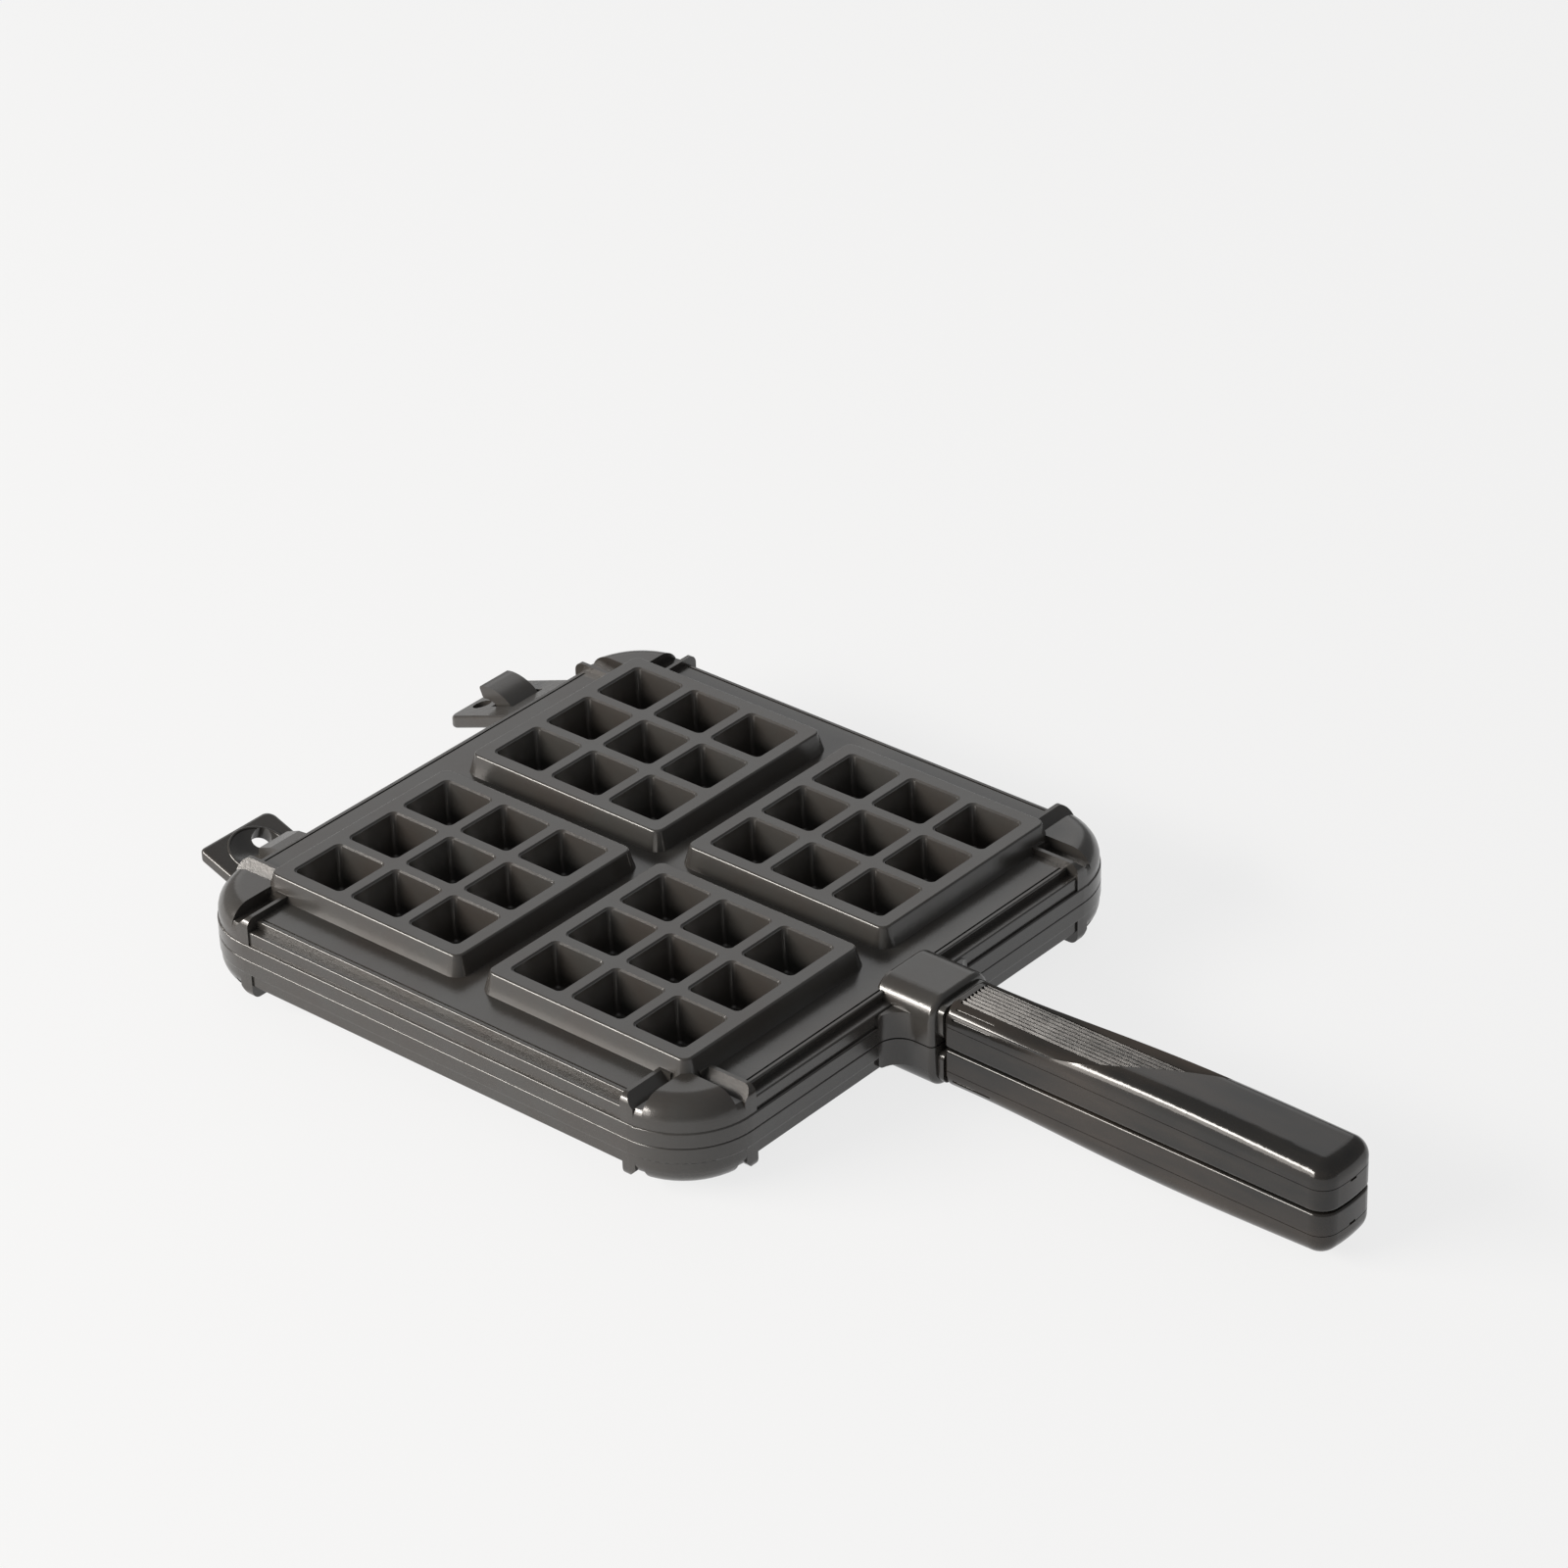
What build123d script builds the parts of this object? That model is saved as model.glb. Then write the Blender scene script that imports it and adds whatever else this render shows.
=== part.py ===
from build123d import *
import math
import os

# Stovetop waffle iron. Two equal cast halves lie face to face on the seam plane.
# One half is the other one turned half a turn about the X axis on that plane.
# X runs from the hinge to the handles and Z is up. The shapes are drawn from the
# middle of the four waffle blocks on the seam plane. They are written with the origin
# on the resting plane, half way along the closed iron. All lengths in millimetres.

# Plate rim, measured from the seam plane up to the block faces
PLATE_HALF = 109.0          # half of the square plate, at the flange
CORNER_RADIUS = 27.0        # plan radius of the plate corners
FLANGE_HEIGHT = 5.65        # flange wall above the seam
LOW_LEDGE_WIDTH = 1.0       # first step in from the flange
MID_WALL_HEIGHT = 4.65      # wall between the two ledges
HIGH_LEDGE_WIDTH = 3.6      # second step in
TOP_WALL_HEIGHT = 2.7       # last wall up to the base flat
RIM_FILLET = 0.55           # rounding of the rim steps
BORDER_GROOVE_INSET = 1.3   # fine groove in the base flat, from the flat's edge
BORDER_GROOVE_WIDTH = 0.7
BORDER_GROOVE_DEPTH = 0.5
SEAM_FILLET = 0.5           # rounding of the flange edge on the seam

# Waffle blocks and the square pockets in them
BLOCK_SPACING = 94.6        # between block centres, both ways
BLOCK_TOP_HALF = 41.15      # half side of a block's upper face
BLOCK_HEIGHT = 7.0          # above the base flat
BLOCK_DRAFT = 17.0          # wall draft in degrees
BLOCK_CORNER = 3.0          # plan radius of block corners
BLOCK_FILLET = 0.8          # rounding of the block's upper edge
POCKETS_PER_SIDE = 3
POCKET_PITCH = 25.4
POCKET_HALF = 10.35         # half opening of a pocket, inside its rounded lip
POCKET_DEPTH = 14.0
POCKET_DRAFT = 14.0
POCKET_CORNER = 2.3         # plan radius at the opening
POCKET_FLOOR_CORNER = 1.3
POCKET_LIP = 0.55           # rounding of the pocket lip

# Cooking side
WALL = 3.5                  # casting wall under the base flat
LAND_WIDTH = 8.0            # flat rim that closes on the other half
CAVITY_DRAFT = 6.0
STUD_GAP = 2.5              # from the stud tips to the seam plane
STUD_WALL = 2.0             # casting wall around a pocket, at its floor
GROOVE_WIDTH = 1.6          # between stud roots, at the groove bottom
STUD_FILLET = 0.8

# Corner bosses and ribs
CORNER_SETBACK = 0.4        # bosses and ribs stand this far inside the flange
BOSS_INNER = 87.3           # from the plate centre lines to the boss side walls
BOSS_RISE = 2.6             # above the base flat
BOSS_ROUND = 8.0            # rounding towards the flange
CORNER_ROUND = 5.0          # rounding of the rim between the ribs
RIB_BACK = 79.3             # from the plate centre lines to the rib's steep side
RIB_RIDGE = 80.7            # where its ridge ends and its long slope starts
RIB_RISE = 2.1
RIB_ROUND = 3.4
TROUGH_FOOT = 84.4          # foot of the rib's slope in the trough beside the boss
TROUGH_DEPTH = 1.7          # below the base flat
TROUGH_SETBACK = 0.4        # trough starts this far from the block

# Neck that carries the handle
NECK_HALF_WIDTH = 14.0
NECK_REAR = 100.5
NECK_FRONT = 124.1
NECK_RISE = 16.4            # top of the neck above the seam
NECK_ROUND = 7.0            # long upper edges
NECK_EDGE = 2.0             # front and rear edges
NECK_FLARE = 8.0            # plan blend from flange to neck
NECK_SEAM_GAP = 0.25        # neck stays this far from the seam

# Tang inside the handle
TANG_LENGTH = 52.0
TANG_HALF_WIDTH = 6.0
TANG_THICKNESS = 4.2
TANG_UNDERSIDE = 3.4        # above the seam
SHOULDER_INSET = 2.4        # shoulder is this much smaller than the neck
HANDLE_STANDOFF = 2.2       # from the neck to the handle

# Handle mouldings
HANDLE_LENGTH = 144.7
HANDLE_START_HALF = 11.2    # half width at the start
HANDLE_END_HALF = 12.8
# Height of the palm above the seam, as (share of the handle's length, height)
HANDLE_CROWN = [(0.0, 15.9), (0.2, 16.1), (0.37, 17.1), (0.55, 17.75), (0.8, 17.3), (1.0, 16.3)]
HANDLE_SEAM_GAP = 0.35
HANDLE_TOP_ROUND = 6.3      # long upper edges of the palm
HANDLE_END_BULGE = 1.6      # how far the end face bows out in plan
HANDLE_END_CORNER = 6.6     # plan radius of the end corners
HANDLE_END_ROUND = 3.0      # upper edge of the end face
HANDLE_SEAM_ROUND = 1.0     # lower edges, where the handles face each other
HANDLE_START_ROUND = 1.4    # edges of the face towards the neck
PARTING_HEIGHT = 8.1        # mould line on the sides
PARTING_GROOVE = 0.25       # width and depth of the mould line
TANG_CLEARANCE = 0.3

# Ribbed thumb ramp on the handle; its edge crosses the handle on a slant
RAMP_HEIGHT = 15.7          # above the seam, at the handle's start
RAMP_END_HEIGHT = 13.9      # the same plane carried on to the handle's end
RAMP_TOP_ROUND = 7.0        # long upper edges of the ramp
RAMP_MARGIN = 3.0           # plain strip before the ridges
# Foot of the wall behind the ramp in plan, as (share of the handle's length, Y)
RAMP_EDGE = [
    (0.17, -16.0), (0.29, -12.6), (0.385, -9.1), (0.475, -2.1),
    (0.58, 5.7), (0.68, 12.0), (0.74, 16.0),
]
RAMP_EDGE_HEIGHT = 15.2     # height at which the edge is given
RAMP_EDGE_LEAN = 0.8        # run of the ramp's wall for each unit of its height
RAMP_EDGE_HEADING = (0.45, -0.89)  # way the wall leans, in plan
RIDGE_COUNT = 9
RIDGE_PITCH = 1.71
RAMP_FAR_SIDE = 8.0         # foot of the wall on the ramp's far side, from the middle
RAMP_FAR_LEAN = 1.1         # run of that wall for each unit of its height
GROOVE_CUT = 0.4            # width at the bottom of a groove between two ridges
GROOVE_DEPTH = 0.75
RIDGE_LEAN = 0.8            # run of a ridge's side for each unit of its depth
GROOVE_MARGIN = 1.6         # groove ends stay this far from the ramp's wall
SHOULDER_GROOVES = 2
SHOULDER_GROOVE_LENGTH = 15.0
SHOULDER_GROOVE_RADIUS = 0.5
SHOULDER_GROOVE_ANGLE = 22.0
SHOULDER_GROOVE_STEP = 28.0
END_MARK_LENGTH = 3.0       # shallow mark on the end face
END_MARK_WIDTH = 0.9
END_MARK_DEPTH = 0.4
END_MARK_HEIGHT = 7.4

# Handle fasteners
SCREW_FIRST = 14.0          # from the handle's start
SCREW_SPACING = 23.0
SCREWS_PER_HANDLE = 2
SCREW_DIAMETER = 4.0
SCREW_HEAD_DIAMETER = 8.0
SCREW_HEAD_HEIGHT = 1.9
SCREW_SLOT = 1.0
WASHER_DIAMETER = 9.5
WASHER_THICKNESS = 0.8
INSERT_DIAMETER = 6.4
INSERT_LENGTH = 2.8
HOLE_CLEARANCE = 0.2        # round the screw in the tang and the washer
THREAD_CLEARANCE = 0.05
INSERT_CLEARANCE = 0.02

# Hinge: one slotted tab and one hook on each half
HINGE_SETBACK = 16.0        # axis behind the plate's rear flange
HINGE_OFFSET = 59.4         # tab and hook centres from the X axis
TAB_WIDTH = 32.4
TAB_THICKNESS = 4.8         # measured upright
TAB_REACH = 10.6            # tab edge beyond the hinge axis
TAB_EDGE_DROP = 4.9         # underside of the tab edge below the seam
TAB_SLOPE = 20.0            # degrees
TAB_OUTER_CORNER = 1.9      # plan radius at the corner away from the X axis
TAB_INNER_CORNER = 3.6
TAB_EDGE_ROUND = 1.2
PIVOT_RADIUS = 4.9          # bar left between the window and the edge
HOOK_INNER = 6.2
HOOK_THICKNESS = 4.8
HOOK_PLATE_REACH = 14.0     # outer curve towards the plate, from the hinge axis
HOOK_WIDTH = 13.2
HOOK_TIP_ANGLE = 113.0      # from the plate side, over the bar
HOOK_ROOT_ANGLE = 30.0      # start of the free arc, before the seam
HOOK_ROOT_CLEARANCE = 9.2   # radius kept free ahead of the hook's root
WINDOW_CLEARANCE = 0.9
DISH_RADIUS = 9.9
DISH_DEPTH = 2.5
DISH_SHIFT = 1.0            # dish centre, from the hinge axis towards the plate
DISH_BEAD = 0.55
SIGHT_HOLE_DIAMETER = 6.8
SIGHT_HOLE_SHIFT = 5.3      # off the tab centre, towards the X axis
SIGHT_HOLE_SETBACK = 3.1    # behind the hinge axis

# Derived sizes
FLAT_HEIGHT = FLANGE_HEIGHT + MID_WALL_HEIGHT + TOP_WALL_HEIGHT
FACE_HEIGHT = FLAT_HEIGHT + BLOCK_HEIGHT
SEAM = FACE_HEIGHT
HINGE_X = -(PLATE_HALF + HINGE_SETBACK)
HANDLE_START = NECK_FRONT + HANDLE_STANDOFF
HANDLE_END = HANDLE_START + HANDLE_LENGTH
HOOK_OUTER = HOOK_INNER + HOOK_THICKNESS
RAMP_FOOT = 12.5            # the ramp's leaning edge starts below the ramp
MIDDLE_X = (HANDLE_END + HANDLE_END_BULGE + HINGE_X - TAB_REACH) / 2
TAB_RISE = math.tan(math.radians(TAB_SLOPE))
CHANNEL_TOP = TANG_UNDERSIDE + TANG_THICKNESS + TANG_CLEARANCE
SCREW_PLACES = [HANDLE_START + SCREW_FIRST + i * SCREW_SPACING for i in range(SCREWS_PER_HANDLE)]
BLOCK_CENTRES = [(x * BLOCK_SPACING / 2, y * BLOCK_SPACING / 2) for x in (-1, 1) for y in (-1, 1)]
PITCHES = [(i - (POCKETS_PER_SIDE - 1) / 2) * POCKET_PITCH for i in range(POCKETS_PER_SIDE)]
POCKET_PLACES = [(cx + px, cy + py) for cx, cy in BLOCK_CENTRES for px in PITCHES for py in PITCHES]


def tapered(half_x, half_y, corner, bottom, top, draft=0.0):
    """Rounded rectangular block with the given half sides at its bottom; draft narrows it upwards."""
    outline = Plane.XY.offset(bottom) * RectangleRounded(2 * half_x, 2 * half_y, corner)
    return extrude(outline, amount=top - bottom, taper=draft)


def span(x0, x1, y0, y1, z0, z1):
    """Plain box between two corners."""
    return Pos((x0 + x1) / 2, (y0 + y1) / 2, (z0 + z1) / 2) * Box(x1 - x0, y1 - y0, z1 - z0)


def at_places(shape, places):
    """Copies of one shape, moved in plan."""
    return [Pos(x, y, 0) * shape for x, y in places]


def level_edges(shape, height, tolerance=0.05):
    """Edges that lie whole on one level."""
    return shape.edges().filter_by_position(Axis.Z, height - tolerance, height + tolerance)


def across(profile, y0, y1):
    """Face drawn in X and Z, made solid between two Y values."""
    return Pos(0, y1, 0) * extrude(profile, amount=y1 - y0, dir=(0, -1, 0))


def side_face(points):
    """Closed straight-sided face through (x, z) points."""
    return make_face(Polyline([(x, 0, z) for x, z in points], close=True))


def along_x(points):
    """Long bar along X with the given outline of Y and Z."""
    face = make_face(Polyline(*[(HANDLE_START - 60, y, z) for y, z in points], close=True))
    return extrude(face, amount=HANDLE_LENGTH + 120, dir=(1, 0, 0))


def ring_along_y(x, z, outer, inner, y0, y1):
    """Tube along Y."""
    solid = Cylinder(outer, y1 - y0) - Cylinder(inner, y1 - y0)
    return Pos(x, (y0 + y1) / 2, z) * Rot(90, 0, 0) * solid


def rim_steps():
    """The three tiers of the rim, each with a rounded upper edge, and the grooves along it."""
    low = tapered(PLATE_HALF, PLATE_HALF, CORNER_RADIUS, 0, FLANGE_HEIGHT)
    low = fillet(level_edges(low, FLANGE_HEIGHT), RIM_FILLET)
    low = fillet(level_edges(low, 0), SEAM_FILLET)
    mid_half = PLATE_HALF - LOW_LEDGE_WIDTH
    mid_top = FLANGE_HEIGHT + MID_WALL_HEIGHT
    mid = tapered(mid_half, mid_half, CORNER_RADIUS - LOW_LEDGE_WIDTH, 1, mid_top)
    mid = fillet(level_edges(mid, mid_top), RIM_FILLET)
    high_half = mid_half - HIGH_LEDGE_WIDTH
    corner = CORNER_RADIUS - LOW_LEDGE_WIDTH - HIGH_LEDGE_WIDTH
    high = tapered(high_half, high_half, corner, 1, FLAT_HEIGHT)
    high = fillet(level_edges(high, FLAT_HEIGHT), RIM_FILLET)
    outer = high_half - BORDER_GROOVE_INSET
    end = RIB_BACK - 1.5
    floor = FLAT_HEIGHT - BORDER_GROOVE_DEPTH
    groove = span(outer - BORDER_GROOVE_WIDTH, outer, -end, end, floor, FACE_HEIGHT)
    return low + mid + high - [Rot(0, 0, turn) * groove for turn in (0, 90, 180, 270)]


def corner_blank(height, rounding):
    """The plate's outline just inside the flange, up to a height, with a rounded upper edge."""
    half = PLATE_HALF - CORNER_SETBACK
    blank = tapered(half, half, CORNER_RADIUS - CORNER_SETBACK, 1.2, height)
    return fillet(level_edges(blank, height), rounding)


def corner_ribs():
    """Rounded rim and the two ribs of the corner with positive X and Y."""
    reach = PLATE_HALF + 1
    inner = PLATE_HALF - 30
    plain = corner_blank(FLAT_HEIGHT - 0.05, CORNER_ROUND)
    plain = plain & span(RIB_BACK, reach, RIB_BACK, reach, 0, FACE_HEIGHT)
    ribs = corner_blank(FLAT_HEIGHT + RIB_RISE, RIB_ROUND)
    along_y = ribs & span(RIB_BACK, TROUGH_FOOT, inner, reach, 0, FACE_HEIGHT)
    along_x = ribs & span(inner, reach, RIB_BACK, TROUGH_FOOT, 0, FACE_HEIGHT)
    return plain + along_y + along_x


def corner_troughs():
    """What is cut away between the ribs and the boss; it gives each rib its long slope."""
    floor = FLAT_HEIGHT - TROUGH_DEPTH
    lean = (TROUGH_FOOT - RIB_RIDGE) / (RIB_RISE + TROUGH_DEPTH)
    top = TROUGH_FOOT - (FACE_HEIGHT - floor) * lean
    outline = [(TROUGH_FOOT, floor), (BOSS_INNER, floor), (BOSS_INNER, FACE_HEIGHT), (top, FACE_HEIGHT)]
    block_side = BLOCK_SPACING / 2 + BLOCK_TOP_HALF + BLOCK_HEIGHT * math.tan(math.radians(BLOCK_DRAFT))
    along_y = across(side_face(outline), block_side + TROUGH_SETBACK, PLATE_HALF + 1)
    along_x = mirror(along_y, about=Plane(origin=(0, 0, 0), z_dir=(1, -1, 0)))
    return [along_y, along_x]


def corner_boss():
    """Pillow boss of the corner with positive X and Y."""
    reach = PLATE_HALF + 1
    boss = corner_blank(FLAT_HEIGHT + BOSS_RISE, BOSS_ROUND)
    return boss & span(BOSS_INNER, reach, BOSS_INNER, reach, 0, FACE_HEIGHT)


def blocks():
    """Four raised waffle blocks."""
    rise = BLOCK_HEIGHT + 1.0
    spread = rise * math.tan(math.radians(BLOCK_DRAFT))
    base = BLOCK_TOP_HALF + spread
    block = tapered(base, base, BLOCK_CORNER + spread, FLAT_HEIGHT - 1.0, FACE_HEIGHT, BLOCK_DRAFT)
    block = fillet(level_edges(block, FACE_HEIGHT), BLOCK_FILLET)
    return at_places(block, BLOCK_CENTRES)


def pocket():
    """One square pocket with a rounded lip, as the shape that is cut away."""
    slope = math.tan(math.radians(POCKET_DRAFT))
    bottom, top = FACE_HEIGHT - POCKET_DEPTH, FACE_HEIGHT + 1
    floor = 2 * (POCKET_HALF - POCKET_DEPTH * slope)
    mouth = 2 * (POCKET_HALF + slope)
    floor_face = Pos(0, 0, bottom) * RectangleRounded(floor, floor, POCKET_FLOOR_CORNER)
    mouth_face = Pos(0, 0, top) * RectangleRounded(mouth, mouth, POCKET_CORNER - POCKET_LIP)
    body = loft([floor_face, mouth_face])
    body = fillet(level_edges(body, bottom), 1.0)
    lip_half = POCKET_HALF + POCKET_LIP
    lip = tapered(lip_half, lip_half, POCKET_CORNER, FACE_HEIGHT - POCKET_LIP, top)
    lip_bottom = level_edges(lip, FACE_HEIGHT - POCKET_LIP)
    lip = chamfer(lip_bottom, POCKET_LIP * 0.98)
    return body + lip


def cavity():
    """Space between the halves on the cooking side, without the studs."""
    half = PLATE_HALF - LAND_WIDTH
    corner = CORNER_RADIUS - LAND_WIDTH
    roof = FLAT_HEIGHT - WALL
    hollow = tapered(half, half, corner, -1, roof, CAVITY_DRAFT)
    hollow = fillet(level_edges(hollow, roof), STUD_FILLET)
    root = groove_roof()
    block_half = BLOCK_TOP_HALF - WALL + (FACE_HEIGHT - roof) * math.tan(math.radians(BLOCK_DRAFT)) - 1
    well = tapered(block_half, block_half, BLOCK_CORNER, roof - 1, root, BLOCK_DRAFT)
    for piece in at_places(well, BLOCK_CENTRES):
        hollow = hollow + piece
    return hollow - at_places(stud(), POCKET_PLACES)


def groove_roof():
    """Height at which neighbouring studs are one groove width apart."""
    tip = POCKET_HALF - POCKET_DEPTH * math.tan(math.radians(POCKET_DRAFT)) + STUD_WALL
    room = (POCKET_PITCH - GROOVE_WIDTH) / 2 - tip
    return STUD_GAP + room / math.tan(math.radians(POCKET_DRAFT))


def stud():
    """One tapered stud, tip towards the seam, longer than the cavity is high."""
    tip = POCKET_HALF - POCKET_DEPTH * math.tan(math.radians(POCKET_DRAFT)) + STUD_WALL
    shape = tapered(tip, tip, 2.0, STUD_GAP, groove_roof() + 1, -POCKET_DRAFT)
    return fillet(level_edges(shape, STUD_GAP), STUD_FILLET)


def neck():
    """Block at the front of the plate, its shoulder and the tang for the handle."""
    block = span(NECK_REAR, NECK_FRONT, -NECK_HALF_WIDTH, NECK_HALF_WIDTH, NECK_SEAM_GAP, NECK_RISE)
    long_edges = block.edges().filter_by(Axis.X).filter_by_position(Axis.Z, NECK_RISE - 0.1, NECK_RISE + 0.1)
    block = fillet(long_edges, NECK_ROUND)
    end_edges = [e for e in block.edges() if e.center().X > NECK_FRONT - 0.01 and e.center().Z > 1]
    rear_edges = [e for e in block.edges() if e.center().X < NECK_REAR + 0.01 and e.center().Z > FLAT_HEIGHT]
    block = fillet(end_edges + rear_edges, NECK_EDGE)
    side = NECK_HALF_WIDTH - SHOULDER_INSET
    shoulder = span(NECK_FRONT - 1, HANDLE_START, -side, side, SHOULDER_INSET, NECK_RISE - SHOULDER_INSET)
    shoulder = fillet(shoulder.edges().filter_by(Axis.X), 3.0)
    top = TANG_UNDERSIDE + TANG_THICKNESS
    end = HANDLE_START + TANG_LENGTH
    tang = span(HANDLE_START - 2, end, -TANG_HALF_WIDTH, TANG_HALF_WIDTH, TANG_UNDERSIDE, top)
    tang = tang - screw_cylinders(SCREW_DIAMETER / 2 + HOLE_CLEARANCE, 0, FACE_HEIGHT)
    return block + flare() + shoulder + tang


def flare():
    """Concave plan blend between the flange and both sides of the neck."""
    wide = NECK_HALF_WIDTH + NECK_FLARE
    front = PLATE_HALF + NECK_FLARE
    top = FLANGE_HEIGHT + MID_WALL_HEIGHT - 0.6
    piece = span(PLATE_HALF - 6, front, -wide, wide, NECK_SEAM_GAP, top)
    upper_edges = [e for e in level_edges(piece, top) if e.center().X > PLATE_HALF - 5]
    piece = fillet(upper_edges, 2.0)
    for side in (-1, 1):
        piece = piece - Pos(front, side * wide, top / 2) * Cylinder(NECK_FLARE, 3 * top)
    return piece


def screw_cylinders(radius, bottom, top):
    """Upright cylinders at the screw places."""
    pin = Pos(0, 0, (bottom + top) / 2) * Cylinder(radius, top - bottom)
    return at_places(pin, [(x, 0) for x in SCREW_PLACES])


def tab():
    """Slotted tab behind the plate: the bar beside its window is the pivot."""
    y0 = HINGE_OFFSET - TAB_WIDTH / 2
    y1 = HINGE_OFFSET + TAB_WIDTH / 2
    edge = HINGE_X - TAB_REACH
    plate_x = -PLATE_HALF + 1.5
    low = -TAB_EDGE_DROP
    climb = (plate_x - edge) * TAB_RISE
    underside = [(edge, low), (plate_x, low + climb)]
    top_side = [(x, z + TAB_THICKNESS) for x, z in reversed(underside)]
    slab = across(side_face(underside + top_side), y0, y1)
    upright = [e for e in slab.edges().filter_by(Axis.Z) if e.center().X < edge + 0.1]
    slab = fillet([e for e in upright if e.center().Y < HINGE_OFFSET], TAB_INNER_CORNER)
    upright = [e for e in slab.edges().filter_by(Axis.Z) if e.center().X < edge + 0.1]
    slab = fillet([e for e in upright if e.center().Y > HINGE_OFFSET], TAB_OUTER_CORNER)
    rounded = [e for e in slab.edges() if e.center().X < plate_x - 1 and not is_upright(e)]
    slab = fillet(rounded, TAB_EDGE_ROUND)
    reach = HOOK_PLATE_REACH + WINDOW_CLEARANCE
    window = ring_along_y(HINGE_X, 0, reach, PIVOT_RADIUS, *hook_span(WINDOW_CLEARANCE))
    window = window - span(HINGE_X - 30, HINGE_X, y0 - 1, y1 + 1, -30, 30)
    lean = Pos(HINGE_X, HINGE_OFFSET, low + TAB_REACH * TAB_RISE) * Rot(0, -TAB_SLOPE, 0)
    ball = (DISH_RADIUS ** 2 + DISH_DEPTH ** 2) / (2 * DISH_DEPTH)
    bowl = Pos(0, 0, DISH_DEPTH - ball) * Sphere(ball) & Cylinder(DISH_RADIUS, 40)
    dish = lean * Pos(DISH_SHIFT, 0, 0) * bowl
    hole = lean * Pos(-SIGHT_HOLE_SETBACK, -SIGHT_HOLE_SHIFT, 0) * Cylinder(SIGHT_HOLE_DIAMETER / 2, 30)
    bead = lean * Pos(DISH_SHIFT, 0, 0) * Torus(DISH_RADIUS + DISH_BEAD / 2, DISH_BEAD)
    return slab - dish + bead - window - hole


def is_upright(edge):
    """True for an edge that runs along Z."""
    way = edge.end_point() - edge.start_point()
    return abs(way.Z) > 0.9 * way.length


def hook_span(clearance=0.0):
    """Y limits of the hook, or of what goes round it."""
    half = HOOK_WIDTH / 2 + clearance
    return (HINGE_OFFSET - half, HINGE_OFFSET + half)


def hook():
    """Hook that leaves the rear flange, passes the other half's window and curls round its bar."""
    y0, y1 = hook_span()
    arc = ring_along_y(HINGE_X, 0, HOOK_OUTER, HOOK_INNER, y0, y1)
    oval = Ellipse(HOOK_PLATE_REACH, HOOK_OUTER) - Circle(HOOK_INNER)
    oval = oval & Pos(HOOK_PLATE_REACH, 0, 0) * Rectangle(2 * HOOK_PLATE_REACH, 4 * HOOK_OUTER)
    arc = arc + Pos(HINGE_X, y1, 0) * Rot(90, 0, 0) * extrude(oval, amount=y1 - y0)
    start, end = math.radians(HOOK_ROOT_ANGLE), -math.radians(HOOK_TIP_ANGLE)
    reach = 4 * HOOK_OUTER
    steps = 8
    fan = [(HINGE_X, 0)]
    for i in range(steps + 1):
        angle = start + (end - start) * i / steps
        fan.append((HINGE_X + reach * math.cos(angle), reach * math.sin(angle)))
    arc = arc & across(side_face(fan), y0 - 1, y1 + 1)
    tip = [e for e in arc.edges().filter_by(Axis.Y) if e.center().X < HINGE_X]
    arc = fillet(tip, 1.2)
    wall = -PLATE_HALF + 1.5
    gap = HOOK_ROOT_CLEARANCE
    root = [(wall, 0.4), (wall, FLAT_HEIGHT - 3.0), (wall - 4, FLAT_HEIGHT - 3.4),
            (HINGE_X + 0.72 * HOOK_OUTER, 0.66 * HOOK_OUTER), (HINGE_X + HOOK_INNER + 1, 0.4)]
    block = across(side_face(root), y0, y1)
    block = block - Pos(HINGE_X, HINGE_OFFSET, 0) * Rot(90, 0, 0) * Cylinder(gap, 3 * HOOK_WIDTH)
    return arc + block


def half_casting():
    """Upper plate: seam plane at zero, block faces up. The hook is on the near side (-Y)."""
    body = rim_steps()
    for turn in (0, 90, 180, 270):
        body = body + Rot(0, 0, turn) * corner_ribs()
        body = body - [Rot(0, 0, turn) * cut for cut in corner_troughs()]
        body = body + Rot(0, 0, turn) * corner_boss()
    body = body + blocks()
    body = body + neck()
    body = body + tab()
    body = body + Pos(0, -2 * HINGE_OFFSET, 0) * hook()
    body = body - at_places(pocket(), POCKET_PLACES)
    return body - cavity()


def ramp_region(inset):
    """Everything on the ramp's side of its slanting, leaning edge."""
    lean = RAMP_EDGE_LEAN
    heading_x, heading_y = RAMP_EDGE_HEADING
    drop = RAMP_EDGE_HEIGHT - RAMP_FOOT
    shift = drop * lean + inset
    edge = [(HANDLE_START + share * HANDLE_LENGTH, y) for share, y in RAMP_EDGE]
    edge = [(x - shift * heading_x, y - shift * heading_y) for x, y in edge]
    start = HANDLE_START - 40
    frame = Polyline(edge[-1], (edge[-1][0], 40), (start, 40), (start, -60), (edge[0][0], -60), edge[0])
    face = make_face([Spline(*edge), frame])
    way = (lean * heading_x, lean * heading_y, 1)
    region = Pos(0, 0, RAMP_FOOT) * extrude(face, amount=20, dir=way)
    foot = RAMP_FAR_SIDE - inset / 3
    low, high = RAMP_FOOT - 5, RAMP_FOOT + 30
    sides = [foot + (z - RAMP_EDGE_HEIGHT) * RAMP_FAR_LEAN for z in (low, high)]
    return region & along_x([(-60, low), (sides[0], low), (sides[1], high), (-60, high)])


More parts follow.
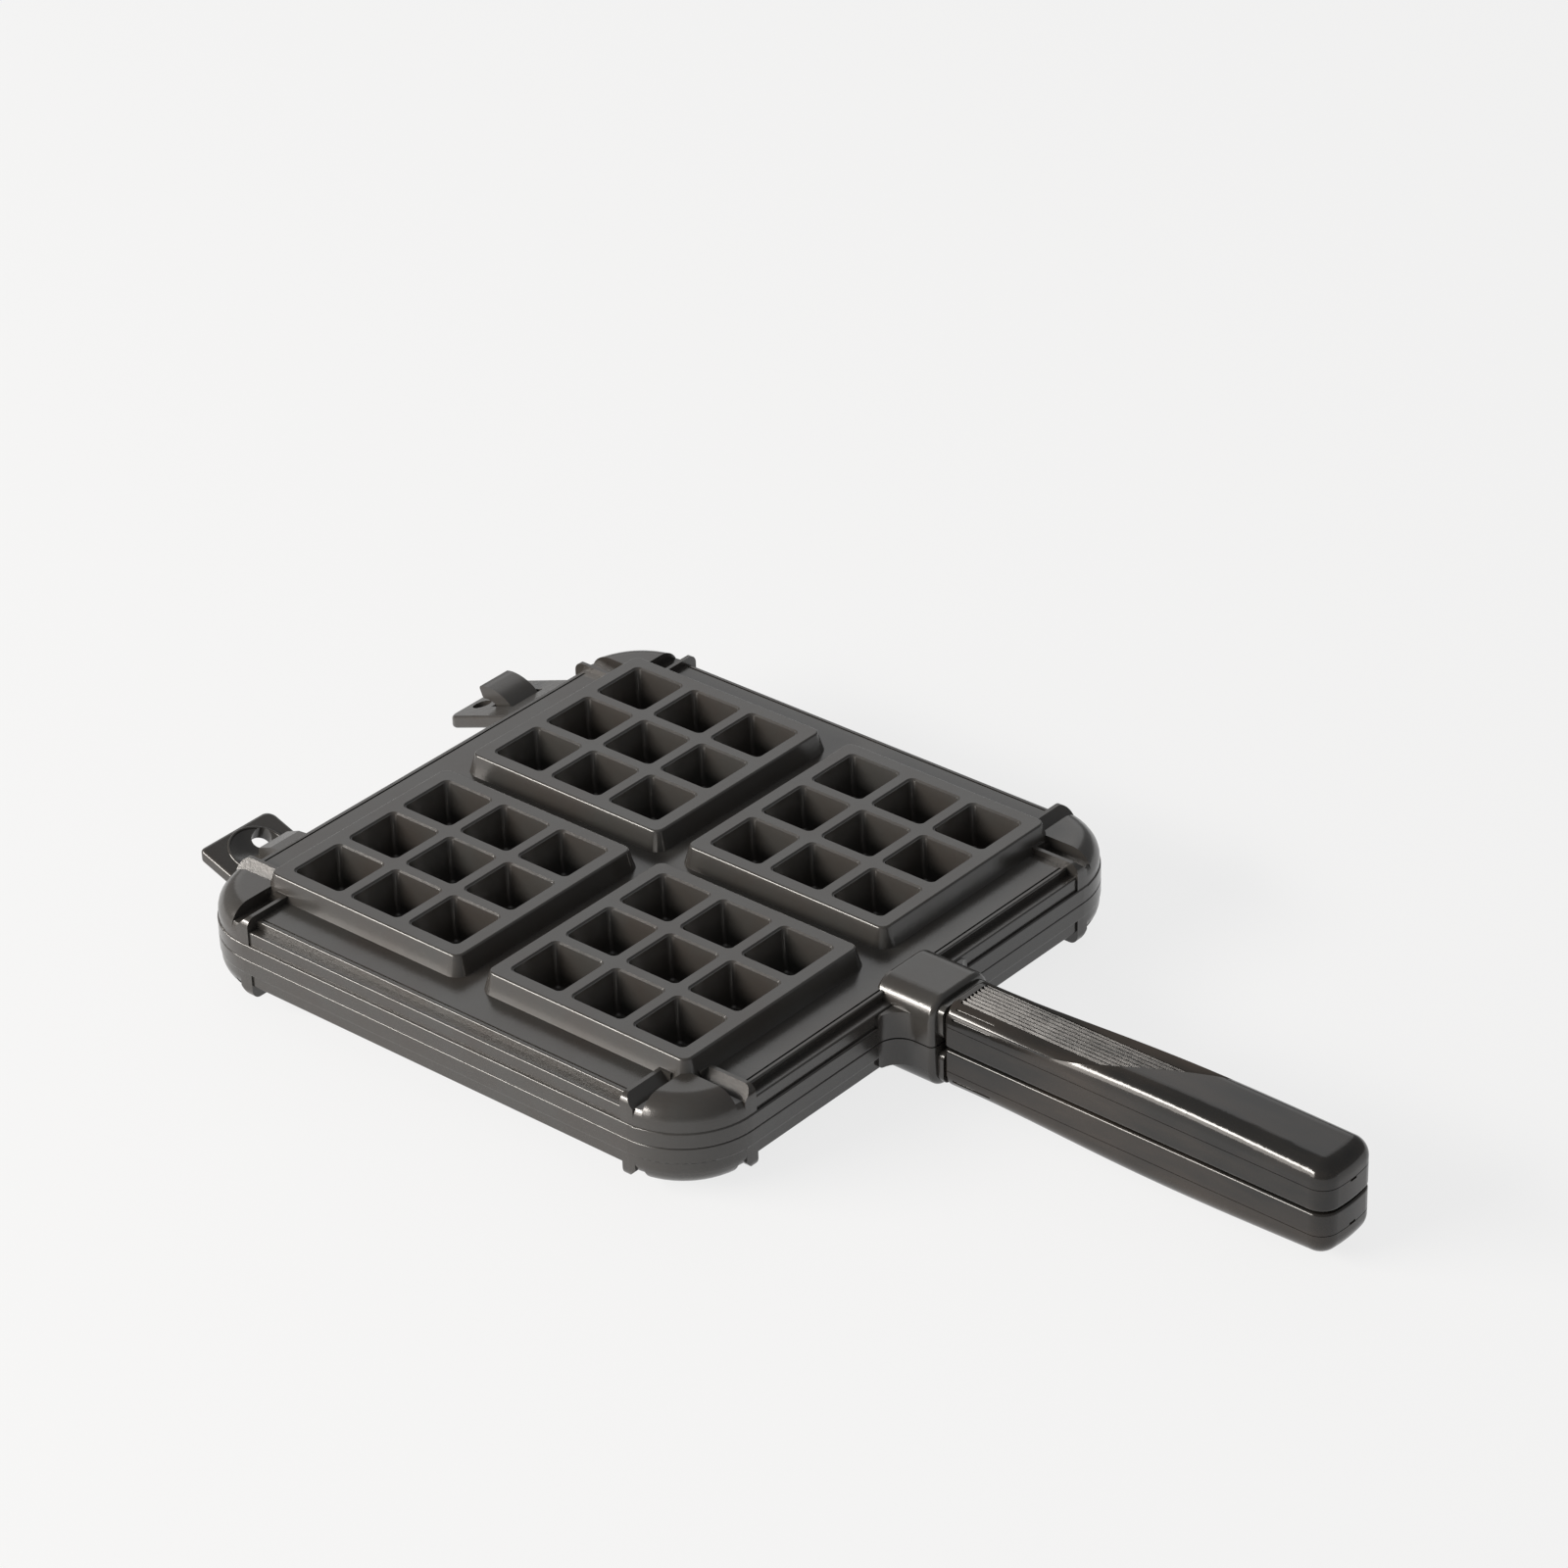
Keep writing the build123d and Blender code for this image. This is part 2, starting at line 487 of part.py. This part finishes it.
def grooves():
    """Parallel grooves in the ramp, which leave the pointed ridges between them."""
    start = HANDLE_START + RAMP_MARGIN
    fall = (RAMP_HEIGHT - RAMP_END_HEIGHT) / HANDLE_LENGTH
    bottom = RAMP_HEIGHT - GROOVE_DEPTH
    low, high = GROOVE_CUT / 2, GROOVE_CUT / 2 + (GROOVE_DEPTH + 0.3) * RIDGE_LEAN
    region = ramp_region(GROOVE_MARGIN)
    middle = (RIDGE_COUNT - 2) / 2
    cuts = []
    for i in range(RIDGE_COUNT - 1):
        y = (i - middle) * RIDGE_PITCH
        lane = [(y - low, bottom), (y + low, bottom), (y + high, bottom + GROOVE_DEPTH + 0.3)]
        lane.append((y - high, bottom + GROOVE_DEPTH + 0.3))
        face = make_face(Polyline(*[(start, y, z) for y, z in lane], close=True))
        cuts.append(region & extrude(face, amount=HANDLE_LENGTH, dir=(1, 0, -fall)))
    return cuts


def shoulder_grooves():
    """Short grooves on both shoulders at the handle's start."""
    cuts = []
    centre_y = HANDLE_START_HALF - RAMP_TOP_ROUND
    centre_z = RAMP_HEIGHT - RAMP_TOP_ROUND
    pin = Cylinder(SHOULDER_GROOVE_RADIUS, SHOULDER_GROOVE_LENGTH)
    pin = fillet(pin.edges(), SHOULDER_GROOVE_RADIUS * 0.9)
    for side in (-1, 1):
        for i in range(SHOULDER_GROOVES):
            angle = math.radians(SHOULDER_GROOVE_ANGLE + i * SHOULDER_GROOVE_STEP)
            y = side * (centre_y + (RAMP_TOP_ROUND + 0.1) * math.cos(angle))
            z = centre_z + (RAMP_TOP_ROUND + 0.1) * math.sin(angle)
            x = HANDLE_START + 3 + SHOULDER_GROOVE_LENGTH / 2
            cuts.append(Pos(x, y, z) * Rot(0, 90, 0) * pin)
    return cuts


def handle_plan(inset, bottom, top):
    """The handle's plan, wider at its end, which bows out between round corners."""
    start, end = HANDLE_START + inset, HANDLE_END - inset
    near, far = HANDLE_START_HALF - inset, HANDLE_END_HALF - inset
    corners = [(end, -far), (start, -near), (start, near), (end, far)]
    bow = ThreePointArc((end, far), (end + HANDLE_END_BULGE, 0), (end, -far))
    body = Pos(0, 0, bottom) * extrude(make_face([Polyline(*corners), bow]), amount=top - bottom)
    corners = [e for e in body.edges() if is_upright(e) and e.center().X > HANDLE_START + 20]
    return fillet(corners, HANDLE_END_CORNER - inset)


def handle_blank(crown, top_round):
    """A handle's outer shape under the given top line, with all its edges rounded."""
    low = HANDLE_SEAM_GAP
    start, end = crown @ 0, crown @ 1
    frame = Polyline((end.X, 0, end.Z), (end.X, 0, low), (start.X, 0, low), (start.X, 0, start.Z))
    body = across(make_face([crown, frame]), -30, 30) & handle_plan(0, 0, 60)
    top = [e for e in body.edges() if e.center().Z > 10 and not is_upright(e)]
    top = [e for e in top if e.center().X > HANDLE_START + 0.01]
    body = fillet(top, top_round)
    first = [e for e in body.edges() if e.center().X < HANDLE_START + 0.01 and e.center().Z > low + 0.01]
    body = fillet(first, HANDLE_START_ROUND)
    return fillet(level_edges(body, low), HANDLE_SEAM_ROUND)


def palm():
    """The swelling part of the handle, before the ramp is cut into it."""
    points = [(HANDLE_START + share * HANDLE_LENGTH, 0, z) for share, z in HANDLE_CROWN]
    points[-1] = (HANDLE_END + HANDLE_END_BULGE, 0, points[-1][2])
    return handle_blank(Spline(*points), HANDLE_TOP_ROUND)


def ramp():
    """The flat part of the handle that the thumb ramp belongs to."""
    start = (HANDLE_START, 0, RAMP_HEIGHT)
    end = (HANDLE_END + HANDLE_END_BULGE, 0, RAMP_END_HEIGHT)
    body = handle_blank(Line(start, end), RAMP_TOP_ROUND)
    return body & ramp_region(0)


def handle_shell():
    """Palm and ramp as one solid, with a mould line round its sides."""
    body = palm() - ramp_region(0) + ramp()
    top = PARTING_HEIGHT + PARTING_GROOVE
    band = span(HANDLE_START - 2, HANDLE_END + 9, -30, 30, PARTING_HEIGHT, top)
    return body - (band - handle_plan(PARTING_GROOVE, 0, 40))


def handle():
    """Upper handle: a half shell over the tang, with a ribbed ramp for the thumb."""
    body = handle_shell() - grooves() - shoulder_grooves()
    side = TANG_HALF_WIDTH + TANG_CLEARANCE
    end = HANDLE_START + TANG_LENGTH + TANG_CLEARANCE
    body = body - span(HANDLE_START - 1, end, -side, side, -1, CHANNEL_TOP)
    bore = INSERT_DIAMETER / 2 + INSERT_CLEARANCE
    body = body - screw_cylinders(bore, CHANNEL_TOP - 1, CHANNEL_TOP + INSERT_LENGTH)
    half = END_MARK_LENGTH / 2
    mark_top = END_MARK_HEIGHT + END_MARK_WIDTH
    tip = HANDLE_END + HANDLE_END_BULGE
    mark = span(tip - END_MARK_DEPTH, tip + 1, -half, half, END_MARK_HEIGHT, mark_top)
    return body - mark


def screws():
    """Pan-head screws that come up through the tang, heads towards the seam."""
    head_top = TANG_UNDERSIDE - WASHER_THICKNESS
    head_bottom = head_top - SCREW_HEAD_HEIGHT
    head = Pos(0, 0, (head_top + head_bottom) / 2) * Cylinder(SCREW_HEAD_DIAMETER / 2, SCREW_HEAD_HEIGHT)
    head = fillet(level_edges(head, head_bottom), 0.6)
    wide = SCREW_HEAD_DIAMETER
    head = head - span(-wide, wide, -SCREW_SLOT / 2, SCREW_SLOT / 2, 0, head_bottom + 0.8)
    tip = CHANNEL_TOP + INSERT_LENGTH - 0.3
    shank = Pos(0, 0, (head_top + tip) / 2) * Cylinder(SCREW_DIAMETER / 2, tip - head_top)
    return at_places(head + shank, [(x, 0) for x in SCREW_PLACES])


def washers():
    """Flat washers between the screw heads and the tang."""
    bottom = TANG_UNDERSIDE - WASHER_THICKNESS
    hole = SCREW_DIAMETER / 2 + HOLE_CLEARANCE
    ring = Cylinder(WASHER_DIAMETER / 2, WASHER_THICKNESS) - Cylinder(hole, 2 * WASHER_THICKNESS)
    return at_places(Pos(0, 0, bottom + WASHER_THICKNESS / 2) * ring, [(x, 0) for x in SCREW_PLACES])


def inserts():
    """Threaded inserts moulded into the handle over the tang."""
    ring = Cylinder(INSERT_DIAMETER / 2, INSERT_LENGTH)
    ring = ring - Cylinder(SCREW_DIAMETER / 2 + THREAD_CLEARANCE, 2 * INSERT_LENGTH)
    return at_places(Pos(0, 0, CHANNEL_TOP + INSERT_LENGTH / 2) * ring, [(x, 0) for x in SCREW_PLACES])


def write_both(shape, name):
    """Write one shape as the upper piece and, turned over the X axis, as the lower one."""
    solids = shape if isinstance(shape, list) else [shape]
    group = Compound(children=solids) if len(solids) > 1 else solids[0]
    export_step(Pos(-MIDDLE_X, 0, SEAM) * group, f"parts/upper_{name}.step")
    export_step(Pos(-MIDDLE_X, 0, SEAM) * Rot(180, 0, 0) * group, f"parts/lower_{name}.step")


os.makedirs("parts", exist_ok=True)
write_both(half_casting(), "plate")
write_both(handle(), "handle")
write_both(screws(), "handle_screws")
write_both(washers(), "handle_washers")
write_both(inserts(), "handle_inserts")
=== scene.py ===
"""Looks of a stovetop waffle maker: finishes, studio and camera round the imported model."""

import logging
from dataclasses import dataclass, field
from enum import Enum
from typing import Any, Union

import bpy
from mathutils import Matrix, Vector

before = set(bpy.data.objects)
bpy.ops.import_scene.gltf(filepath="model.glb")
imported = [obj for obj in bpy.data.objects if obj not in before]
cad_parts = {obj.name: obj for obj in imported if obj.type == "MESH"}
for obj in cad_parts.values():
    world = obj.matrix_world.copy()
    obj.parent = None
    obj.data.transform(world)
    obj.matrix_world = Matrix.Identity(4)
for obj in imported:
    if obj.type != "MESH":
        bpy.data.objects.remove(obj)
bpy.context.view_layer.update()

Colour = tuple[float, float, float]
Number = Union[float, "Value"]
Range = tuple[float, float]
Stretch = tuple[float, float, float]

TARGET = (-0.05, 0.0, 0.0)  # the point that the lamps look at
NOISE_MIDDLE = 0.5  # what a noise comes to on average
MIX_FIRST, MIX_SECOND, MIX_RESULT = 6, 7, 2  # the places of a Mix node's colours

log = logging.getLogger("waffle_maker")


class Half(Enum):
    """The two halves of the waffle maker, which are the bodies of the model."""

    LOWER = "lower"
    UPPER = "upper"


class Value:
    """An output socket of a shader node, on which Python sums add Math nodes."""

    def __init__(self, board: "Board", socket: bpy.types.NodeSocket | None) -> None:
        """Keeps the socket.

        Args:
            board: the node tree that the socket is on.
            socket: the output socket, or None for a node that has none.
        """
        self.board = board
        self.socket = socket

    def maths(self, operation: str, other: Number, swapped: bool = False) -> "Value":
        """Joins this value and another by one Math node.

        Args:
            operation: the Math node's operation.
            other: a number or another value.
            swapped: whether the other one comes first.

        Returns:
            The node's result.
        """
        pair = (other, self) if swapped else (self, other)
        return self.board.add("ShaderNodeMath", {"operation": operation}, {0: pair[0], 1: pair[1]})

    def __add__(self, other: Number) -> "Value":
        """This value plus another."""
        return self.maths("ADD", other)

    def __radd__(self, other: Number) -> "Value":
        """A number plus this value."""
        return self.maths("ADD", other, True)

    def __sub__(self, other: Number) -> "Value":
        """This value less another."""
        return self.maths("SUBTRACT", other)

    def __mul__(self, other: Number) -> "Value":
        """This value times another."""
        return self.maths("MULTIPLY", other)


class Board:
    """A node tree that is filled node by node."""

    def __init__(self, tree: bpy.types.NodeTree) -> None:
        """Empties the tree.

        Args:
            tree: the tree of a material or of the world.
        """
        self.tree = tree
        tree.nodes.clear()

    def add(self, kind: str, settings: dict[str, Any] | None = None,
            sockets: dict[Any, Any] | None = None, output: Any = 0) -> Value:
        """Adds one node.

        Args:
            kind: the node's type.
            settings: the node's own properties, which are set first.
            sockets: a number, colour or value for each input that isn't at its default.
            output: the name or place of the output that is wanted.

        Returns:
            That output.
        """
        node = self.tree.nodes.new(kind)
        for name, setting in (settings or {}).items():
            setattr(node, name, setting)
        for name, given in (sockets or {}).items():
            if isinstance(given, Value):
                self.tree.links.new(given.socket, node.inputs[name])
            else:
                node.inputs[name].default_value = given
        return Value(self, node.outputs[output]) if node.outputs else Value(self, None)

    def object_place(self) -> Value:
        """The point on the piece, in metres, in the piece's own frame."""
        return self.add("ShaderNodeTexCoord", output="Object")

    def stretched(self, place: Value, scale: Stretch) -> Value:
        """A point whose axes are scaled, so that what is read at it comes out stretched.

        Args:
            place: the point.
            scale: the factor of each axis; a small one draws a noise out along it.

        Returns:
            The scaled point.
        """
        return self.add("ShaderNodeMapping", None, {"Vector": place, "Scale": scale})

    def noise(self, place: Value, size: float, detail: float = 3, roughness: float = 0.5) -> Value:
        """A soft noise from 0 to 1.

        Args:
            place: the point that it is read at.
            size: the size of its patches, in metres.
            detail: how many finer layers it has.
            roughness: how strong the finer layers are.

        Returns:
            The noise.
        """
        settings = {"Vector": place, "Scale": 1 / size, "Detail": detail, "Roughness": roughness}
        return self.add("ShaderNodeTexNoise", {"noise_dimensions": "3D"}, settings)

    def between(self, value: Value, low: float, high: float,
                new_low: float = 0.0, new_high: float = 1.0) -> Value:
        """Maps a range of a value to another range, and holds it inside.

        Args:
            value: the value.
            low: where the range starts.
            high: where it ends.
            new_low: the result at the start.
            new_high: the result at the end.

        Returns:
            The result.
        """
        sockets = {0: value, 1: low, 2: high, 3: new_low, 4: new_high}
        return self.add("ShaderNodeMapRange", {"clamp": True}, sockets)

    def blend(self, share: Number, first: Any, second: Any) -> Value:
        """A colour between two colours.

        Args:
            share: 0 for the first, 1 for the second.
            first: a colour or a value.
            second: a colour or a value.

        Returns:
            The colour.
        """
        first = first if isinstance(first, Value) else (*first, 1)
        second = second if isinstance(second, Value) else (*second, 1)
        sockets = {0: share, MIX_FIRST: first, MIX_SECOND: second}
        return self.add("ShaderNodeMix", {"data_type": "RGBA"}, sockets, MIX_RESULT)

    def bump(self, height: Value, depth: float, under: Value | None = None) -> Value:
        """A bumped normal.

        Args:
            height: the height, from 0 to 1.
            depth: how deep a full step is, in metres.
            under: a bump that this one lies on.

        Returns:
            The normal.
        """
        sockets: dict[str, Any] = {"Height": height, "Distance": depth, "Strength": 1.0}
        if under:
            sockets["Normal"] = under
        return self.add("ShaderNodeBump", None, sockets)

    def surface(self, sockets: dict[str, Any]) -> None:
        """Ends the tree in a Principled shader.

        Args:
            sockets: its inputs.
        """
        shader = self.add("ShaderNodeBsdfPrincipled", None, sockets)
        self.add("ShaderNodeOutputMaterial", None, {"Surface": shader})


def new_board(name: str) -> tuple[bpy.types.Material, Board]:
    """Makes an empty material.

    Args:
        name: its name.

    Returns:
        The material and its board.
    """
    material = bpy.data.materials.new(name)
    material.use_nodes = True
    return material, Board(material.node_tree)


@dataclass(frozen=True)
class CoatedCasting:
    """Dark non-stick coating on cast aluminium: satin, finely grained, browner where thick."""

    name: str = "coated_casting"
    colour: Colour = (0.035, 0.034, 0.032)
    thick_colour: Colour = (0.032, 0.028, 0.025)
    roughness: float = 0.21
    patch_spread: float = 0.10
    grain_spread: float = 0.08
    specular: float = 0.7
    patch_size: float = 0.022
    patch_range: Range = (0.35, 0.65)
    grain_size: float = 0.00055
    grain_depth: float = 0.000012
    peel_size: float = 0.0026
    peel_depth: float = 0.00003

    def material(self) -> bpy.types.Material:
        """Builds the finish.

        Returns:
            The material.
        """
        material, board = new_board(self.name)
        place = board.object_place()
        patches = board.noise(place, self.patch_size, detail=5, roughness=0.6)
        peel = board.noise(place, self.peel_size, detail=3)
        grain = board.noise(place, self.grain_size, detail=2)
        thick = board.between(patches, *self.patch_range)
        colour = board.blend(thick, self.colour, self.thick_colour)
        rough = self.roughness + (patches - NOISE_MIDDLE) * self.patch_spread
        rough = rough + (grain - NOISE_MIDDLE) * self.grain_spread
        normal = board.bump(grain, self.grain_depth, board.bump(peel, self.peel_depth))
        board.surface({
            "Base Color": colour,
            "Roughness": rough,
            "Specular IOR Level": self.specular,
            "Normal": normal,
        })
        return material


@dataclass(frozen=True)
class BlackPhenolic:
    """Moulded black phenolic: glossy, with a faint flow in it and fine handling marks."""

    name: str = "black_phenolic"
    colour: Colour = (0.011, 0.0105, 0.0098)
    flow_colour: Colour = (0.030, 0.024, 0.0195)
    roughness: float = 0.12
    flow_spread: float = 0.08
    mark_spread: float = 0.05
    ior: float = 1.5
    stretch: Stretch = (0.25, 1.0, 1.0)
    flow_size: float = 0.016
    flow_range: Range = (0.4, 0.7)
    dull_range: Range = (0.3, 0.8)
    wave_size: float = 0.012
    wave_depth: float = 0.00006
    mark_size: float = 0.0007
    mark_depth: float = 0.000003

    def material(self) -> bpy.types.Material:
        """Builds the finish.

        Returns:
            The material.
        """
        material, board = new_board(self.name)
        place = board.object_place()
        along = board.stretched(place, self.stretch)
        flow = board.noise(along, self.flow_size, detail=4, roughness=0.55)
        wave = board.noise(place, self.wave_size, detail=1)
        marks = board.noise(along, self.mark_size, detail=3)
        pale = board.between(flow, *self.flow_range)
        colour = board.blend(pale, self.colour, self.flow_colour)
        rough = self.roughness + board.between(flow, *self.dull_range) * self.flow_spread
        rough = rough + (marks - NOISE_MIDDLE) * self.mark_spread
        normal = board.bump(marks, self.mark_depth, board.bump(wave, self.wave_depth))
        board.surface({
            "Base Color": colour,
            "Roughness": rough,
            "IOR": self.ior,
            "Normal": normal,
        })
        return material


@dataclass(frozen=True)
class TurnedMetal:
    """Plain metal of screws, washers and inserts, with stains and fine streaks."""

    name: str
    colour: Colour
    stain_colour: Colour
    roughness: float = 0.3
    stain_spread: float = 0.2
    scratch_spread: float = 0.15
    stretch: Stretch = (1.0, 0.08, 1.0)
    stain_size: float = 0.003
    stain_range: Range = (0.45, 0.7)
    scratch_size: float = 0.0003
    scratch_depth: float = 0.000008

    def material(self) -> bpy.types.Material:
        """Builds the finish.

        Returns:
            The material.
        """
        material, board = new_board(self.name)
        place = board.object_place()
        stain = board.noise(place, self.stain_size, detail=4)
        across = board.stretched(place, self.stretch)
        scratches = board.noise(across, self.scratch_size, detail=2)
        stained = board.between(stain, *self.stain_range)
        colour = board.blend(stained, self.colour, self.stain_colour)
        rough = self.roughness + (stain - NOISE_MIDDLE) * self.stain_spread
        rough = rough + (scratches - NOISE_MIDDLE) * self.scratch_spread
        board.surface({
            "Base Color": colour,
            "Metallic": 1.0,
            "Roughness": rough,
            "Normal": board.bump(scratches, self.scratch_depth),
        })
        return material


@dataclass
class Finishes:
    """The finishes that both halves share."""

    casting: bpy.types.Material
    phenolic: bpy.types.Material
    steel: bpy.types.Material
    brass: bpy.types.Material


def make_finishes() -> Finishes:
    """Makes each finish once.

    Returns:
        The finishes.
    """
    steel = TurnedMetal("turned_steel", (0.56, 0.55, 0.53), (0.34, 0.31, 0.28))
    brass = TurnedMetal("turned_brass", (0.62, 0.44, 0.18), (0.35, 0.22, 0.09))
    return Finishes(
        CoatedCasting().material(), BlackPhenolic().material(), steel.material(), brass.material()
    )


def dress(node: str, finish: bpy.types.Material) -> None:
    """Gives a CAD node its finish.

    Args:
        node: the node's name.
        finish: the material.
    """
    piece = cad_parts[node]
    if not piece.material_slots:
        piece.data.materials.append(finish)
    for slot in piece.material_slots:
        slot.material = finish
    log.info("%s wears %s", node, finish.name)


@dataclass
class CastHalf:
    """One half of the waffle maker: a cast plate, its handle and what holds the handle on."""

    half: Half
    finishes: Finishes

    def node(self, piece: str) -> str:
        """The CAD node's name of one of this half's pieces."""
        return f"{self.half.value}_{piece}"

    def build(self) -> None:
        """Dresses the half's nodes."""
        dress(self.node("plate"), self.finishes.casting)
        dress(self.node("handle"), self.finishes.phenolic)
        dress(self.node("handle_screws"), self.finishes.steel)
        dress(self.node("handle_washers"), self.finishes.steel)
        dress(self.node("handle_inserts"), self.finishes.brass)


@dataclass(frozen=True)
class Softbox:
    """A rectangular lamp that looks at a point."""

    name: str
    place: tuple[float, float, float]
    target: tuple[float, float, float]
    size: tuple[float, float]
    power: float
    colour: Colour = (1.0, 1.0, 1.0)

    def build(self) -> None:
        """Hangs the lamp."""
        data = bpy.data.lights.new(self.name, "AREA")
        data.shape = "RECTANGLE"
        data.size, data.size_y = self.size
        data.energy = self.power
        data.color = self.colour
        lamp = bpy.data.objects.new(self.name, data)
        bpy.context.scene.collection.objects.link(lamp)
        lamp.location = self.place
        aim = Vector(self.target) - Vector(self.place)
        lamp.rotation_euler = aim.to_track_quat("-Z", "Y").to_euler()
        log.info("lamp %s at %s", self.name, self.place)


@dataclass(frozen=True)
class PhotoCamera:
    """The camera that stands where the photograph was taken."""

    place: tuple[float, float, float] = (0.96152, -1.11628, 0.9701)
    right: tuple[float, float, float] = (0.7627, 0.6463, -0.0258)
    up: tuple[float, float, float] = (-0.3151, 0.4060, 0.8578)
    lens: float = 127.1
    sensor: float = 36.0
    clip: Range = (0.05, 40.0)

    def build(self) -> None:
        """Sets up the camera and makes it the scene's."""
        data = bpy.data.cameras.new("photo_camera")
        data.lens = self.lens
        data.sensor_width = self.sensor
        data.clip_start, data.clip_end = self.clip
        camera = bpy.data.objects.new("photo_camera", data)
        bpy.context.scene.collection.objects.link(camera)
        right = Vector(self.right).normalized()
        back = right.cross(Vector(self.up)).normalized()
        turn = Matrix((right, back.cross(right), back)).transposed()
        camera.matrix_world = Matrix.Translation(self.place) @ turn.to_4x4()
        bpy.context.scene.camera = camera


@dataclass(frozen=True)
class Studio:
    """A pale floor under soft light, most of it from the left."""

    floor_half: float = 14.0
    floor_colour: Colour = (0.80, 0.80, 0.80)
    seen_colour: Colour = (0.92, 0.92, 0.92)
    seen_share: float = 0.86
    world_colour: Colour = (1.0, 1.0, 1.0)
    world_strength: float = 0.30
    softboxes: list[Softbox] = field(default_factory=lambda: [
        Softbox("key_softbox", (-1.3, -1.9, 1.12), TARGET, (2.2, 0.45), 96.0, (1.0, 0.95, 0.89)),
        Softbox("low_softbox", (-1.0, -2.1, 0.50), TARGET, (2.0, 0.7), 24.0, (1.0, 0.94, 0.88)),
        Softbox("back_softbox", (-1.5, 1.7, 1.4), TARGET, (2.4, 1.6), 8.0),
    ])

    def floor(self) -> None:
        """Lays the floor, which is bright to the camera and in reflections, and takes a shadow."""
        data = bpy.data.meshes.new("floor")
        half = self.floor_half
        corners = [(-half, -half, 0), (half, -half, 0), (half, half, 0), (-half, half, 0)]
        data.from_pydata(corners, [], [(0, 1, 2, 3)])
        floor = bpy.data.objects.new("floor", data)
        bpy.context.scene.collection.objects.link(floor)
        material, board = new_board("pale_floor")
        matt = board.add("ShaderNodeBsdfDiffuse", None, {"Color": (*self.floor_colour, 1)})
        seen = board.add("ShaderNodeEmission", None, {"Color": (*self.seen_colour, 1)})
        rays = board.add("ShaderNodeLightPath", output="Is Camera Ray")
        for kind in ("Is Glossy Ray", "Is Transmission Ray"):
            rays = rays.maths("MAXIMUM", board.add("ShaderNodeLightPath", output=kind))
        share = rays * self.seen_share
        shader = board.add("ShaderNodeMixShader", None, {0: share, 1: matt, 2: seen})
        board.add("ShaderNodeOutputMaterial", None, {"Surface": shader})
        data.materials.append(material)

    def world(self) -> None:
        """Lights the room evenly."""
        world = bpy.data.worlds.new("studio")
        world.use_nodes = True
        board = Board(world.node_tree)
        room = board.add("ShaderNodeBackground", None, {
            "Color": (*self.world_colour, 1), "Strength": self.world_strength,
        })
        seen = board.add("ShaderNodeBackground", None, {"Color": (*self.seen_colour, 1)})
        rays = board.add("ShaderNodeLightPath", output="Is Camera Ray")
        shader = board.add("ShaderNodeMixShader", None, {0: rays, 1: room, 2: seen})
        board.add("ShaderNodeOutputWorld", None, {"Surface": shader})
        bpy.context.scene.world = world

    def build(self) -> None:
        """Sets up the floor, the room's light and the lamps."""
        self.floor()
        self.world()
        for softbox in self.softboxes:
            softbox.build()
        bpy.context.scene.view_settings.view_transform = "Standard"


def main() -> None:
    """Builds the scene piece by piece."""
    logging.basicConfig(level=logging.INFO, format="%(name)s: %(message)s")
    PhotoCamera().build()
    Studio().build()
    finishes = make_finishes()
    for half in Half:
        CastHalf(half, finishes).build()


if __name__ == "__main__":
    main()
